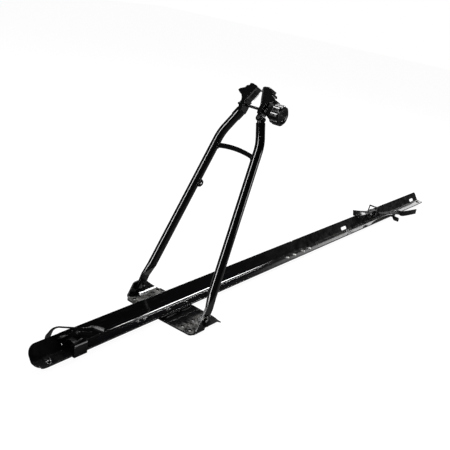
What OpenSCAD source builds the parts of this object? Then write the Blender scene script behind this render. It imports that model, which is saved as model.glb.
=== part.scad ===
// Roof bike carrier: a folded base plate that bolts on a roof bar, a long wheel rail
// in two halves, and a hinged A-shaped arm of two tubes that ends in a clamp.
// Millimetres. X runs along the rail, Y along the roof bar, Z up.
// The origin is the middle of the base plate's underside.

/* [Wheel rail] */
// Length of the whole rail
rail_len = 1400; // [1200:10:1500]
// How far the rail reaches behind the middle of the base plate
rail_back = 290; // [250:1:320]
// Length of the rear half, up to the butt joint
rear_half_len = 692; // [640:1:720]
// Sheet thickness of the rail
rail_t = 1.5; // [1.2:0.1:2]
// Width of the rail floor
floor_w = 18.5; // [17:0.5:24]
// Height of the flared wall above the floor
wall_h = 20.2; // [15:0.1:26]
// Outward lean of the flared wall
wall_out = 14; // [8:0.5:18]
// Height of the rail floor's top face
floor_z = 12.9; // [12:0.1:16]

/* [Base plate] */
// Sheet thickness of the base plate
plate_t = 3; // [2.5:0.5:4]
// How far the plate reaches behind its middle
plate_rear = 42; // [38:1:46]
// How far the plate reaches ahead of its middle
plate_front = 40; // [38:1:44]
// Half of the plate's length, over the ears
plate_half = 79; // [76:1:84]
// Thickness of the ears
ear_t = 2.5; // [2:0.5:3]
// Diameter of the bolt holes for the roof bar
bar_hole_d = 6.6; // [5.5:0.1:8.5]
// Distance between bolt holes along the rail
bar_pitch_x = 58; // [50:1:62]
// Distance between the outer bolt holes along the bar
bar_pitch_outer = 128; // [120:1:132]
// Distance between the inner bolt holes along the bar
bar_pitch_inner = 97; // [88:1:100]

/* [Arm] */
// Outer diameter of the arm tubes
tube_d = 16; // [14:0.5:18]
// Wall of the arm tubes
tube_wall = 1.5; // [1.2:0.1:2]
// Lean of the arm from the rail as built
arm_angle = 66.7; // [60:0.1:80]
// Height of the hinge above the plate's underside
hinge_z = 17.5; // [16:0.5:20]
// Distance of the hinge behind the middle of the plate
hinge_back = 7.5; // [0:0.5:10]
// Half of the distance between the tube feet
foot_y = 73.4; // [73.4:0.1:73.6]
// Distance from the hinge to the bend in the tubes
bend_s = 303; // [300:1:306]
// Lean of the lower tube towards the middle
low_lean = 6; // [5.5:0.1:6.2]
// Lean of the upper tube towards the middle
high_lean = 24.3; // [23:0.1:25]
// Distance from the hinge to the top of the tubes
tube_top = 336; // [334:1:338]

/* [Clamp] */
// Thickness of the clamp jaws
jaw_t = 19; // [18:1:22]
// How far the moving jaw stands open as built
jaw_open = 8; // [5:1:8]
// Distance from the hinge to the clamp spindle
spindle_s = 360; // [359:1:361]
// Diameter of the clamp spindle
spindle_d = 5; // [4:0.5:6]
// Diameter of the clamp knob
knob_d = 35; // [32:1:36]
// Length of the clamp knob
knob_len = 32; // [30:1:36]
// Number of finger grooves on the knob
knob_grooves = 8; // [6:1:10]

/* [Wheel straps] */
// Width of the strap bands
band_w = 14; // [12:1:15]
// Thickness of the strap bands
band_t = 2; // [1.5:0.1:2.5]
// Place of the front buckle along the rail
front_buckle_x = 771; // [750:1:800]

/* [Hidden] */
$fn = 48;
e = 0.01;

// Rail section, drawn in Y and Z
rail_x0 = -rail_back;
rail_x1 = rail_len - rail_back;
joint_x = rail_x0 + rear_half_len;
rail_half_w = (floor_w + wall_out) / 2;
bend_y = rail_half_w - wall_out;
rim_z = floor_z + wall_h;
wall_len = sqrt(wall_h * wall_h + wall_out * wall_out);
wall_angle = atan2(wall_h, wall_out);
bend_r = 4;
bend_run = bend_r * tan(wall_angle / 2);
bend_steps = 7;
hem_w = 2.8;
hem_t = 1.3;
bead_y = bend_y - 3.9;
bead_w = 2.6;
bead_h = 0.9;
end_round = 15;
joint_gap = 0.4;
joint_round = 4.5;
slot_len = 28;
slot_w = 8;
front_slot_x = [636, 1069];

// Bolts: M5 along the rail, M8 at the hinge
rail_bolt_d = 5;
rail_head_d = 8.4;
rail_head_t = 2.4;
rail_hole_d = 5.3;
rail_bolt_y = -7.3;
rail_bolt_x = 22;
splice_len = 130;
splice_t = 2;
nut_t = 4;
end_bolt_x = 21;
splice_bolt_x = [-46, -18, 18, 46];
saddle_len = 64;
saddle_w = 26.6;
saddle_t = 1.8;
saddle_top = floor_z - rail_t;

// Ears and hinge
ear_rear = -33;
ear_step = -9;
ear_front = 33;
tight_r = 5.5;
wide_r = 12;
ear_top_z = 27;
hinge_x = -hinge_back;
hinge_d = 8;
fit = 0.05;
washer_t = 0.9;
washer_d = 10.8;
foot_t = 4;
foot_r = 9.5;
head_h = 4.6;

// Tube path in the arm's own plane: s along the arm, q along Y
low_s = 44;
low_q = foot_y - low_s * tan(low_lean);
bend_q = foot_y - bend_s * tan(low_lean);
turn = high_lean - low_lean;
turn_r = 80;
turn_run = turn_r * tan(turn / 2);
high_len = (tube_top - bend_s) / cos(high_lean);
top_q = bend_q - high_len * sin(high_lean);
bore_d = tube_d - 2 * tube_wall;

// Clamp
neck = 10;
pivot_s = tube_top + neck * cos(high_lean);
pivot_q = top_q - neck * sin(high_lean);
boss_r = 6.2;
boss_t = 14;
lug_t = 6;
lug_r = 6;
jaw_pin_d = 5;
fork_gap = lug_t + 0.3;
washer_q = 27.4;
knob_q = washer_q + 1.8;
grip_at = 13.8;

// Middle of a hole in the flared wall, at the height hole_z
hole_z = 18;
hole_y = bend_y + (hole_z - floor_z) * wall_out / wall_h;

// A strip of even thickness under a line of points
function unit(v) = v / norm(v);
function offset_at(p, i) =
  let (
    last = len(p) - 1,
    u = i == 0 ? unit(p[1] - p[0]) : unit(p[i] - p[i - 1]),
    v = i == last ? u : unit(p[i + 1] - p[i])
  )
  [u[1] + v[1], -u[0] - v[0]] / (1 + u * v);
function under(p, t) = [for (i = [len(p) - 1:-1:0]) p[i] + offset_at(p, i) * t];
module strip(p, t) {
  polygon(concat(p, under(p, t)));
}

// Points on an arc
function arc(c, r, a0, a1, n) = [for (i = [0:n]) c + r * [cos(a0 + (a1 - a0) * i / n), sin(a0 + (a1 - a0) * i / n)]];

// A drawing in Y and Z, stretched along X from x0 to x1
module along_x(x0, x1) {
  translate([x0, 0, 0]) rotate([90, 0, 90]) linear_extrude(x1 - x0) children();
}

// A drawing in X and Z, stretched along Y from y0 to y1
module along_y(y0, y1) {
  translate([0, y1, 0]) rotate([90, 0, 0]) linear_extrude(y1 - y0) children();
}

// A straight round bar along Y from y0 to y1
module bar_y(d, y0, y1) {
  translate([0, y1, 0]) rotate([90, 0, 0]) cylinder(d = d, h = y1 - y0);
}

// A hexagon head or nut, with its axis along Z
module hex(across, h) {
  cylinder(d = across / cos(30), h = h, $fn = 6);
}

function flip(p) = [for (i = [len(p) - 1:-1:0]) p[i]];

function rail_line() = concat(
  [[-rail_half_w, floor_z]],
  arc([bend_y - bend_run, floor_z + bend_r], bend_r, -90, wall_angle - 90, bend_steps),
  [[rail_half_w, rim_z]]
);

// Rounded bead pressed up along the floor, and a hem under the front edge
module rail_section() {
  line = rail_line();
  last = len(line) - 1;
  below = under(line, rail_t);
  polygon(concat(
    [line[0], [bead_y - bead_w / 2, floor_z]],
    [[bead_y - bead_w / 6, floor_z + bead_h], [bead_y + bead_w / 6, floor_z + bead_h]],
    [[bead_y + bead_w / 2, floor_z]],
    [for (i = [1:last]) line[i]],
    [for (i = [0:last - 1]) below[i]],
    [[hem_w - rail_half_w, floor_z - rail_t], [hem_w - rail_half_w, floor_z - rail_t - hem_t]],
    [[-rail_half_w, floor_z - rail_t - hem_t]]
  ));
}

// Rounds the free corner of a sheet that spans [0, 0] to [size, size]
module corner_cut(size) {
  difference() {
    translate([-1, -1]) square([size + 1, size + 1]);
    translate([size, size]) circle(size);
  }
}

// Places a drawing on the flared wall: first axis along X from the rail's end, second down from the rim
module on_wall(x, way) {
  translate([x, rail_half_w, rim_z])
    rotate([wall_angle - 180, 0, 0])
      scale_x(way)
        translate([0, 0, -4]) linear_extrude(8) children();
}
module scale_x(way) {
  if (way < 0) mirror([1, 0, 0]) children();
  else children();
}

// Places a drawing on the floor: first axis along X from the rail's end, second inwards from the front edge
module on_floor(x, way) {
  translate([x, -rail_half_w, floor_z - 6])
    scale_x(way) linear_extrude(8) children();
}

module rail_piece(x0, x1) {
  difference() {
    along_x(x0, x1) rail_section();
    children();
  }
}

module slot(x) {
  translate([x, hole_y, hole_z])
    rotate([wall_angle, 0, 0]) {
      translate([-(slot_len - slot_w) / 2, -slot_w / 2, -5]) cube([slot_len - slot_w, slot_w, 10]);
      for (side = [-1, 1])
        translate([side * (slot_len - slot_w) / 2, 0, -5]) cylinder(d = slot_w, h = 10);
    }
}

// Sheet bent up at the end of the plate, drawn for the +Y end
module ear_bend(r, x0, x1) {
  translate([x0, plate_half - r, r])
    rotate([0, 90, 0])
      difference() {
        intersection() {
          cylinder(r = r, h = x1 - x0);
          translate([0, 0, -1]) cube([r + 1, r + 1, x1 - x0 + 2]);
        }
        translate([0, 0, -1]) cylinder(r = r - ear_t, h = x1 - x0 + 2);
      }
  translate([x0, plate_half - wide_r - 1, 0]) cube([x1 - x0, wide_r + 1 - r, plate_t]);
}

module base_plate() color([0.05, 0.05, 0.055]) {
  flat_end = plate_half - wide_r;
  difference() {
    union() {
      linear_extrude(plate_t)
        polygon([
          for (i = [0:1])
            let (sy = 1 - 2 * i, half = [
              [plate_front, 12], [plate_front - 1.6, flat_end + 4], [plate_front + 0.5, plate_half - 3.4],
              [plate_front - 2.6, plate_half - 1.6], [plate_front - 5.5, plate_half - 7], [ear_front - 1, flat_end],
              [ear_rear, flat_end], [ear_rear, plate_half - 4.6], [-plate_rear + 5, plate_half - 5.6],
              [-plate_rear + 2.6, plate_half - 9], [-plate_rear, 12]
            ])
              for (k = [0:len(half) - 1])
                let (p = half[i == 0 ? k : len(half) - 1 - k]) [p[0], sy * p[1]]
        ]);
      for (side = [0, 1]) mirror([0, side, 0]) {
        ear_bend(tight_r, ear_rear, ear_step + e);
        ear_bend(wide_r, ear_step, ear_front);
        // Upper part of the ear
        along_y(plate_half - ear_t, plate_half)
          polygon([
            [ear_rear, tight_r], [ear_rear + 2, 8], [ear_rear + 4, wide_r], [-22, ear_top_z - 2],
            [-18, ear_top_z], [4, ear_top_z - 0.5], [8, ear_top_z - 3], [ear_front - 10, wide_r],
            [ear_step, wide_r], [ear_step, tight_r]
          ]);
      }
    }
    // The ear slopes down to the plate's front corner
    for (side = [0, 1]) mirror([0, side, 0])
      translate([ear_front - 10, flat_end - 1, wide_r])
        rotate([0, 35, 0]) cube([30, 20, 20]);
    // Bolt holes for the roof bar
    for (sx = [-1, 1], sy = [-1, 1], pitch = [bar_pitch_inner, bar_pitch_outer])
      translate([sx * bar_pitch_x / 2, sy * pitch / 2, -1]) cylinder(d = bar_hole_d, h = plate_t + 2);
    for (sy = [-1, 1])
      translate([0, sy * 46.4, -1]) cylinder(d = bar_hole_d, h = plate_t + 2);
    // Hinge holes in the ears
    translate([hinge_x, 0, hinge_z]) bar_y(hinge_d + 2 * fit, -plate_half - 3, plate_half + 3);
  }
}

module rail_saddle() color([0.05, 0.05, 0.055]) {
  difference() {
    translate([-saddle_len / 2, -saddle_w / 2, plate_t])
      cube([saddle_len, saddle_w, saddle_top - plate_t]);
    translate([-saddle_len / 2 - 1, -saddle_w / 2 + saddle_t, plate_t - 1])
      cube([saddle_len + 2, saddle_w - 2 * saddle_t, saddle_top - plate_t - saddle_t + 1]);
    for (sx = [-1, 1])
      translate([sx * rail_bolt_x, rail_bolt_y, 0]) cylinder(d = rail_hole_d, h = 20);
  }
}

module rail_rear_half() color([0.04, 0.04, 0.045]) {
  rail_piece(rail_x0, joint_x - joint_gap / 2) {
    on_wall(rail_x0, 1) corner_cut(end_round);
    on_floor(rail_x0, 1) corner_cut(12);
    on_wall(joint_x - joint_gap / 2, -1) corner_cut(joint_round);
    // Drain hole, wall hole and the bolt holes
    translate([rail_x0 + 58, hole_y + 1.2, hole_z + 1.7])
      rotate([wall_angle, 0, 0]) translate([0, 0, -5]) cylinder(d = 6, h = 10);
    translate([rail_x0 + 235, hole_y, hole_z])
      rotate([wall_angle, 0, 0]) translate([0, 0, -5]) cylinder(d = 5, h = 10);
    for (x = [-rail_bolt_x, rail_bolt_x])
      translate([x, rail_bolt_y, 0]) cylinder(d = rail_hole_d, h = 20);
    for (dx = [splice_bolt_x[0], splice_bolt_x[1]])
      translate([joint_x + dx, rail_bolt_y, 0]) cylinder(d = rail_hole_d, h = 20);
    translate([rail_x0 + end_bolt_x, rail_bolt_y, 0]) cylinder(d = rail_hole_d, h = 20);
  }
}

module rail_front_half() color([0.04, 0.04, 0.045]) {
  rail_piece(joint_x + joint_gap / 2, rail_x1) {
    on_wall(rail_x1, -1) corner_cut(7);
    on_floor(rail_x1, -1) corner_cut(6);
    on_wall(joint_x + joint_gap / 2, 1) corner_cut(joint_round);
    for (x = front_slot_x) slot(x);
    for (dx = [splice_bolt_x[2], splice_bolt_x[3]])
      translate([joint_x + dx, rail_bolt_y, 0]) cylinder(d = rail_hole_d, h = 20);
    translate([rail_x1 - end_bolt_x, rail_bolt_y, 0]) cylinder(d = rail_hole_d, h = 20);
  }
}

// Short length of the same section, nested under the joint
module splice_plate() color([0.06, 0.06, 0.065]) {
  line = concat(
    [[-rail_half_w + hem_w + 0.4, floor_z]],
    arc([bend_y - bend_run, floor_z + bend_r], bend_r, -90, wall_angle - 90, bend_steps),
    [[rail_half_w - 3 * wall_out / wall_len, rim_z - 3 * wall_h / wall_len]]
  );
  difference() {
    along_x(joint_x - splice_len / 2, joint_x + splice_len / 2)
      polygon(concat(flip(under(line, rail_t)), under(line, rail_t + splice_t)));
    for (dx = splice_bolt_x)
      translate([joint_x + dx, rail_bolt_y, 0]) cylinder(d = rail_hole_d, h = 20);
  }
}

// Low round head on top of the rail floor, shank down
module rail_bolt(x, shank) {
  rim_t = rail_head_t * 0.6;
  translate([x, rail_bolt_y, floor_z]) {
    cylinder(d = rail_head_d, h = rim_t);
    translate([0, 0, rim_t - e]) cylinder(d1 = rail_head_d, d2 = rail_head_d * 0.6, h = rail_head_t - rim_t);
    translate([0, 0, -shank]) cylinder(d = rail_bolt_d, h = shank + e);
  }
}

// Nut under the rail, with its top at z
module rail_nut(x, z) {
  translate([x, rail_bolt_y, z - nut_t])
    difference() {
      hex(8, nut_t);
      translate([0, 0, -1]) cylinder(d = rail_bolt_d, h = nut_t + 2);
    }
}

module splice_bolts() color("silver") {
  for (dx = splice_bolt_x)
    rail_bolt(joint_x + dx, 8.6);
}

module splice_nuts() color("silver") {
  for (dx = splice_bolt_x)
    rail_nut(joint_x + dx, floor_z - rail_t - splice_t);
}

module rail_bolts() color("silver") {
  for (x = [-rail_bolt_x, rail_bolt_x])
    rail_bolt(x, 8.4);
}

module rail_nuts() color("silver") {
  for (x = [-rail_bolt_x, rail_bolt_x])
    rail_nut(x, saddle_top - saddle_t);
}

// Short bolts in the end holes of the rail
module rail_end_bolts() color("silver") {
  for (x = [rail_x0 + end_bolt_x, rail_x1 - end_bolt_x])
    rail_bolt(x, 5);
}

// The arm's own frame: s is Z, q is Y, the origin on the hinge
module on_arm() {
  translate([hinge_x, 0, hinge_z]) rotate([0, 90 - arm_angle, 0]) children();
}

// Solid round bar that follows the tube, from the foot to the top
module tube_run(d, from_top, low_cut) {
  low_len = (bend_s - low_s) / cos(low_lean) - turn_run - low_cut;
  translate([0, low_q, low_s])
    rotate([low_lean, 0, 0]) {
      translate([0, 0, low_cut]) cylinder(d = d, h = low_len);
      translate([0, -turn_r, low_cut + low_len])
        rotate([90, 0, 90]) rotate_extrude(angle = turn, $fn = 96) translate([turn_r, 0]) circle(d = d);
      translate([0, -turn_r, low_cut + low_len])
        rotate([turn, 0, 0])
          translate([0, turn_r, -0.5]) cylinder(d = d - 0.1, h = high_len - turn_run - from_top + 0.5);
    }
}

// One tube: flattened foot with the hinge hole, hollow above it, open at the top
module arm_tube() {
  difference() {
    union() {
      tube_run(tube_d, 0, 0);
      hull() {
        translate([0, low_q, low_s])
          rotate([low_lean, 0, 0]) translate([0, 0, 0.5]) cylinder(d = tube_d - 0.4, h = 1, $fn = 32);
        translate([-foot_r, foot_y - foot_t / 2, 22]) cube([2 * foot_r, foot_t, 1]);
      }
      translate([-foot_r, foot_y - foot_t / 2, 0]) cube([2 * foot_r, foot_t, 22.5]);
      bar_y(2 * foot_r, foot_y - foot_t / 2, foot_y + foot_t / 2);
    }
    tube_run(bore_d, -1, 8);
    bar_y(hinge_d + 2 * fit, foot_y - 10, foot_y + 10);
  }
}

module left_tube() color([0.05, 0.05, 0.055]) {
  on_arm() arm_tube();
}

module right_tube() color([0.05, 0.05, 0.055]) {
  on_arm() mirror([0, 1, 0]) arm_tube();
}

// Arched flat bar welded between the tubes
brace_s = 279.5;
brace_h = 8;
brace_rise = 4;
module cross_brace() color([0.05, 0.05, 0.055]) {
  reach = foot_y - brace_s * tan(low_lean) - tube_d / 2 + 1.2;
  brace_r = (reach * reach + brace_rise * brace_rise) / (2 * brace_rise);
  on_arm()
    difference() {
      intersection() {
        translate([0, 0, brace_s + brace_rise - brace_r])
          rotate([0, 90, 0])
            difference() {
              cylinder(r = brace_r + brace_h / 2, h = 5, center = true, $fn = 180);
              cylinder(r = brace_r - brace_h / 2, h = 7, center = true, $fn = 180);
            }
        translate([-5, -reach - 2, brace_s - brace_h]) cube([10, 2 * reach + 4, 3 * brace_h]);
      }
      tube_run(tube_d, 0, 0);
      mirror([0, 1, 0]) tube_run(tube_d, 0, 0);
    }
}

// Small half-round lug on the inner side of the left tube
lug_s = 208;
module stay_lug() color([0.05, 0.05, 0.055]) {
  on_arm()
    difference() {
      translate([-1.5, foot_y - lug_s * tan(low_lean) - tube_d / 2 - 0.5, lug_s])
        rotate([0, 90, 0]) cylinder(r = 7.5, h = 3);
      translate([-5, foot_y - lug_s * tan(low_lean) - tube_d / 2 - 5, lug_s])
        rotate([0, 90, 0]) cylinder(d = 3.4, h = 10);
      tube_run(tube_d, 0, 0);
    }
}

module pivot_bolts() color("silver") {
  translate([hinge_x, 0, hinge_z])
    for (side = [0, 1]) mirror([0, side, 0]) {
      translate([0, plate_half, 0]) rotate([-90, 0, 0]) {
        cylinder(d = 16, h = 1.4);
        hex(12.7, head_h);
      }
      bar_y(hinge_d, foot_y - foot_t / 2 - 8.5, plate_half + 1);
    }
}

module pivot_washers() color("silver") {
  translate([hinge_x, 0, hinge_z])
    for (side = [0, 1]) mirror([0, side, 0])
      difference() {
        bar_y(washer_d, plate_half - ear_t - washer_t, plate_half - ear_t);
        bar_y(hinge_d + 2 * fit, foot_y, plate_half + 2);
      }
}

module pivot_nuts() color("silver") {
  translate([hinge_x, 0, hinge_z])
    for (side = [0, 1]) mirror([0, side, 0])
      translate([0, foot_y - foot_t / 2 - 0.15, 0])
        rotate([90, 0, 0])
          difference() {
            union() {
              hex(13, 5.6);
              cylinder(d = 12, h = 7.6);
            }
            translate([0, 0, -1]) cylinder(d = hinge_d, h = 10);
          }
}

// Jaw outline for the +Y side: q outwards, s up the arm, with its lower edge at low
nut_q = 23;
function jaw_outline(low) = [
  [16, low], [23.3, low], [nut_q, 354], [nut_q, 366], [24.4, 369.6], [27, 373.5], [31.5, 375.8],
  [36.7, 379.7], [34.4, 383.1], [25.6, 387], [23.5, 391], [18.5, 393], [18.2, 396.5], [12.6, 397.1],
  [4.4, 395.1], [1.8, 393], [2, 391], [4.7, 391], [6.7, 386.3], [11.8, 374.6], [15, 368],
  [12.2, 368], [14.1, 364.1], [14.6, 354]
];

// Soft pad on the gripping side of a jaw
pad_outline = [
  [2.1, 390.9], [2, 388.5], [4.3, 385.1], [9.3, 373.4], [12.1, 368.1], [14.9, 368.1], [11.75, 374.6],
  [6.65, 386.25], [4.65, 390.9]
];

// A drawing in q and s, as thick as t
module on_plane(t) {
  rotate([90, 0, 90]) translate([0, 0, -t / 2]) linear_extrude(t) children();
}

// A place on the axis of the upper tube, above its end
module at_tube_end(lift) {
  translate([0, top_q, tube_top]) rotate([high_lean, 0, 0]) translate([0, 0, lift]) children();
}

module fixed_jaw() color([0.06, 0.06, 0.065]) {
  on_arm()
    difference() {
      union() {
        on_plane(jaw_t) polygon(jaw_outline(346));
        // Socket on the tube, and the shank inside it
        at_tube_end(0.1) cylinder(d = tube_d + 1.8, h = 15.4);
        at_tube_end(-14) cylinder(d = bore_d - 2 * fit, h = 16);
      }
      translate([0, 0, spindle_s]) bar_y(spindle_d + 1, 0, 60);
    }
}

module fixed_jaw_pad() color([0.02, 0.02, 0.02]) {
  on_arm() on_plane(jaw_t - 1) polygon(pad_outline);
}

// Turns a drawing of the +Y side into the moving jaw's place
module moving_side() {
  on_arm()
    translate([0, -pivot_q, pivot_s]) rotate([jaw_open, 0, 0]) translate([0, pivot_q, -pivot_s])
      mirror([0, 1, 0]) children();
}

module moving_jaw() color([0.06, 0.06, 0.065]) {
  difference() {
    moving_side()
      difference() {
        union() {
          on_plane(jaw_t) polygon(jaw_outline(350));
          on_plane(boss_t) polygon([[pivot_q - 5.6, pivot_s + 2], [15.6, 353], [23, 353], [pivot_q + 5.6, pivot_s + 2]]);
          translate([-boss_t / 2, pivot_q, pivot_s]) rotate([0, 90, 0]) cylinder(r = boss_r, h = boss_t);
        }
        // Fork around the lug
        translate([-fork_gap / 2, -5, 320]) cube([fork_gap, 60, pivot_s + lug_r + 0.6 - 320]);
        translate([-jaw_t, pivot_q, pivot_s]) rotate([0, 90, 0]) cylinder(d = jaw_pin_d + 2 * fit, h = 2 * jaw_t);
      }
    // Tall slot that the spindle passes through
    on_arm() translate([0, 0, spindle_s]) slot_y(spindle_d + 1.2, 1.3, -60, 0);
  }
}

// A hole along Y, drawn out up and down
module slot_y(d, rise, y0, y1) {
  for (dz = [-rise, rise]) translate([0, 0, dz]) bar_y(d, y0, y1);
  translate([-d / 2, y0, -rise]) cube([d, y1 - y0, 2 * rise]);
}

module moving_jaw_pad() color([0.02, 0.02, 0.02]) {
  moving_side() on_plane(jaw_t - 1) polygon(pad_outline);
}

// Eye that the moving jaw turns on, with a shank in the right tube
module jaw_lug() color([0.06, 0.06, 0.065]) {
  on_arm() mirror([0, 1, 0]) at_tube_end(0)
    difference() {
      union() {
        translate([0, 0, -14]) cylinder(d = bore_d - 2 * fit, h = 14.2);
        translate([0, 0, 0.1]) cylinder(d = tube_d, h = 1.6);
        translate([-lug_t / 2, 0.4 - lug_r, 1]) cube([lug_t, 2 * lug_r - 0.8, neck - 1]);
        translate([-lug_t / 2, 0, neck]) rotate([0, 90, 0]) cylinder(r = lug_r, h = lug_t);
      }
      translate([-jaw_t, 0, neck]) rotate([0, 90, 0]) cylinder(d = jaw_pin_d, h = 2 * jaw_t);
    }
}

module jaw_pin() color("silver") {
  on_arm()
    translate([0, -pivot_q, pivot_s]) rotate([0, 90, 0]) {
      cylinder(d = jaw_pin_d, h = boss_t + 0.4, center = true);
      for (side = [0, 1]) mirror([0, 0, side])
        translate([0, 0, boss_t / 2 + 0.15]) cylinder(d1 = 8, d2 = 6, h = 1.3);
    }
}

// Nut on the outer side of the fixed jaw
module clamp_nut() color("silver") {
  on_arm()
    translate([0, nut_q + 0.02, spindle_s])
      rotate([-90, 0, 0])
        difference() {
          union() {
            cylinder(d = 11, h = 1.2);
            hex(9, 5);
          }
          translate([0, 0, -1]) cylinder(d = spindle_d + 2 * fit, h = 8);
        }
}

module spindle() color("silver") {
  on_arm() translate([0, 0, spindle_s]) bar_y(spindle_d, -knob_q - 20, 32);
}

module thrust_washer() color("silver") {
  on_arm() translate([0, 0, spindle_s])
    difference() {
      bar_y(14, -washer_q - 1.5, -washer_q);
      bar_y(spindle_d + 2 * fit, -60, 0);
    }
}

module knob() color([0.05, 0.05, 0.05]) {
  on_arm() translate([0, -knob_q, spindle_s]) rotate([90, 0, 0])
    difference() {
      union() {
        cylinder(d = 15, h = 3);
        translate([0, 0, 2]) cylinder(d1 = 16, d2 = 29, h = grip_at - 2);
        translate([0, 0, grip_at - e]) cylinder(d = knob_d, h = knob_len - grip_at - 2);
        translate([0, 0, knob_len - 2 - 2 * e]) cylinder(d1 = knob_d, d2 = knob_d - 5, h = 2);
      }
      for (i = [0:knob_grooves - 1])
        rotate(360 / knob_grooves * (i + 0.5))
          translate([knob_d / 2 + 3.4, 0, grip_at - 2]) cylinder(r = 5.6, h = knob_len);
      translate([0, 0, -1]) cylinder(d = spindle_d, h = 21);
      translate([0, 0, knob_len - 5]) cylinder(d = 17, h = 8);
    }
}

// Round cap in the face of the knob
module knob_cap() color([0.03, 0.03, 0.03]) {
  on_arm() translate([0, -knob_q, spindle_s]) rotate([90, 0, 0])
    translate([0, 0, knob_len - 5 + 0.02]) {
      cylinder(d = 17 - 0.1, h = 3.8);
      translate([0, 0, 3.8 - e]) cylinder(d1 = 15.6, d2 = 12, h = 0.9);
    }
}

// Strap buckle: two cheeks on a short base, its length along X, its pin through the origin
cheek_t = 2.2;
buckle_in = 15;
buckle_w = buckle_in + 2 * cheek_t;
buckle_pin_d = 3;
module buckle_body() {
  difference() {
    union() {
      translate([-8, -buckle_w / 2, -5]) cube([15, buckle_w, 2.2]);
      for (side = [-1, 1])
        translate([0, side * (buckle_w - cheek_t) / 2, 0]) along_y(-cheek_t / 2, cheek_t / 2)
          polygon([[-8, -5], [12, -5], [12, 1], [7, 7.6], [4, 8.6], [0, 8.2], [-4, 6], [-8, 0]]);
      // Toothed roller that the band runs over
      bar_y(7, -buckle_in / 2 - 1, buckle_in / 2 + 1);
    }
    bar_y(buckle_pin_d + 2 * fit, -buckle_w, buckle_w);
  }
}

// Ratchet lever: a frame whose two arms turn on the ends of the pin
arm_w = 2;
bail_len = 20;
module lever_body() {
  half = buckle_w / 2 + 0.3;
  difference() {
    union() {
      for (side = [0, 1]) mirror([0, side, 0]) {
        bar_y(6, half, half + arm_w);
        translate([0, half, -2]) cube([bail_len, arm_w, 4]);
      }
      translate([bail_len - 3, -half - arm_w, -2]) cube([3.6, 2 * (half + arm_w), 4]);
    }
    bar_y(buckle_pin_d + 2 * fit, -buckle_w, buckle_w);
  }
}

module pin_body() {
  bar_y(buckle_pin_d, -buckle_w / 2 - 2.8, buckle_w / 2 + 2.8);
}

// The rear buckle is turned across the rail, the front one stands along it
module at_rear_buckle() {
  translate([-214.8, -1, 35]) rotate([0, 0, -41.8]) rotate([-31.8, 0, 0]) children();
}
module at_front_buckle() {
  translate([front_buckle_x, -1, 34]) children();
}
lever_up = 78;

// Cradle that grips the rail from below, from the front edge to behind the wall
cradle_t = 1.7;
cradle_line = [[-16.6, 18], [-16.6, 9.6], [3.2, 10.9], [17.9, 32.1]];

module rear_buckle() color([0.05, 0.05, 0.05]) {
  at_rear_buckle() buckle_body();
  along_x(-232, -208) strip(concat([[-4, 33.2], [-13, 29.5], [-16.6, 24]], cradle_line), cradle_t);
}
module rear_lever() color([0.05, 0.05, 0.05]) at_rear_buckle() lever_body();
module rear_lever_pin() color("silver") at_rear_buckle() pin_body();
module front_buckle() color([0.05, 0.05, 0.05]) at_front_buckle() buckle_body();
module front_lever() color([0.05, 0.05, 0.05]) at_front_buckle() rotate([0, -lever_up, 0]) lever_body();
module front_lever_pin() color("silver") at_front_buckle() pin_body();

// Rear band: a loose loop over the wall, through the buckle, then a free tail
rear_loop = [[-28.4, -8], [-29.6, -3], [-27.2, 2], [-23, 9], [-16, 12.6], [-7, 12.8], [22, 12.8], [32, 14.8], [50, 10.5]];
module rear_strap() color([0.04, 0.04, 0.04]) {
  translate([-225.5, 5.06, 30.8])
    rotate([0, 0, -41.8]) rotate([90 - 31.8, 0, 0])
      translate([0, 0, -band_w / 2]) linear_extrude(band_w) strip(rear_loop, band_t);
}

// Front band, as cross sections: place, heading and roll
front_path = [
  [-71, 20, 8, -38, 62], [-52, 9.5, 6.5, -24, 46], [-32, 2.5, 6.9, -12, 12], [-14, 0, 7, 0, 0],
  [12, 0, 7, 0, 0], [44, -2, -8, -4, 0], [89, -6, -14, -14, 0], [119, -12, -16.5, -18, 6],
  [141, -19, -17.5, -16, 36], [163, -26, -22.6, -16, 76], [229, -38, -24, -10, 88]
];
function band_corner(f, side, face) =
  let (
    across = (side * band_w * cos(f[4]) - face * band_t * sin(f[4])) / 2,
    rise = (side * band_w * sin(f[4]) + face * band_t * cos(f[4])) / 2
  )
  [f[0] - across * sin(f[3]), f[1] + across * cos(f[3]), f[2] + rise];
module front_strap() color([0.04, 0.04, 0.04]) {
  ring = [[1, 1], [-1, 1], [-1, -1], [1, -1]];
  last = 4 * (len(front_path) - 1);
  translate([front_buckle_x, -1, 34])
    polyhedron(
      points = [for (f = front_path, c = ring) band_corner(f, c[0], c[1])],
      faces = concat(
        [[0, 1, 2, 3], [last + 3, last + 2, last + 1, last]],
        [for (i = [0:4:last - 1], k = [0:3]) [i + k, i + 4 + k, i + 4 + (k + 1) % 4]],
        [for (i = [0:4:last - 1], k = [0:3]) [i + k, i + 4 + (k + 1) % 4, i + (k + 1) % 4]]
      )
    );
}

// Keeper block that hangs on the front edge
module front_hook() color([0.05, 0.05, 0.05]) {
  x0 = front_buckle_x + 111;
  along_x(x0, x0 + 19) strip(cradle_line, cradle_t);
  along_x(x0, x0 + 19)
    polygon([[-17.6, 12.6], [-21, 13], [-36, 12], [-38, 9], [-38, 0.6], [-24, 0.6], [-18, 8.2], [-17.6, 9]]);
}

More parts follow.
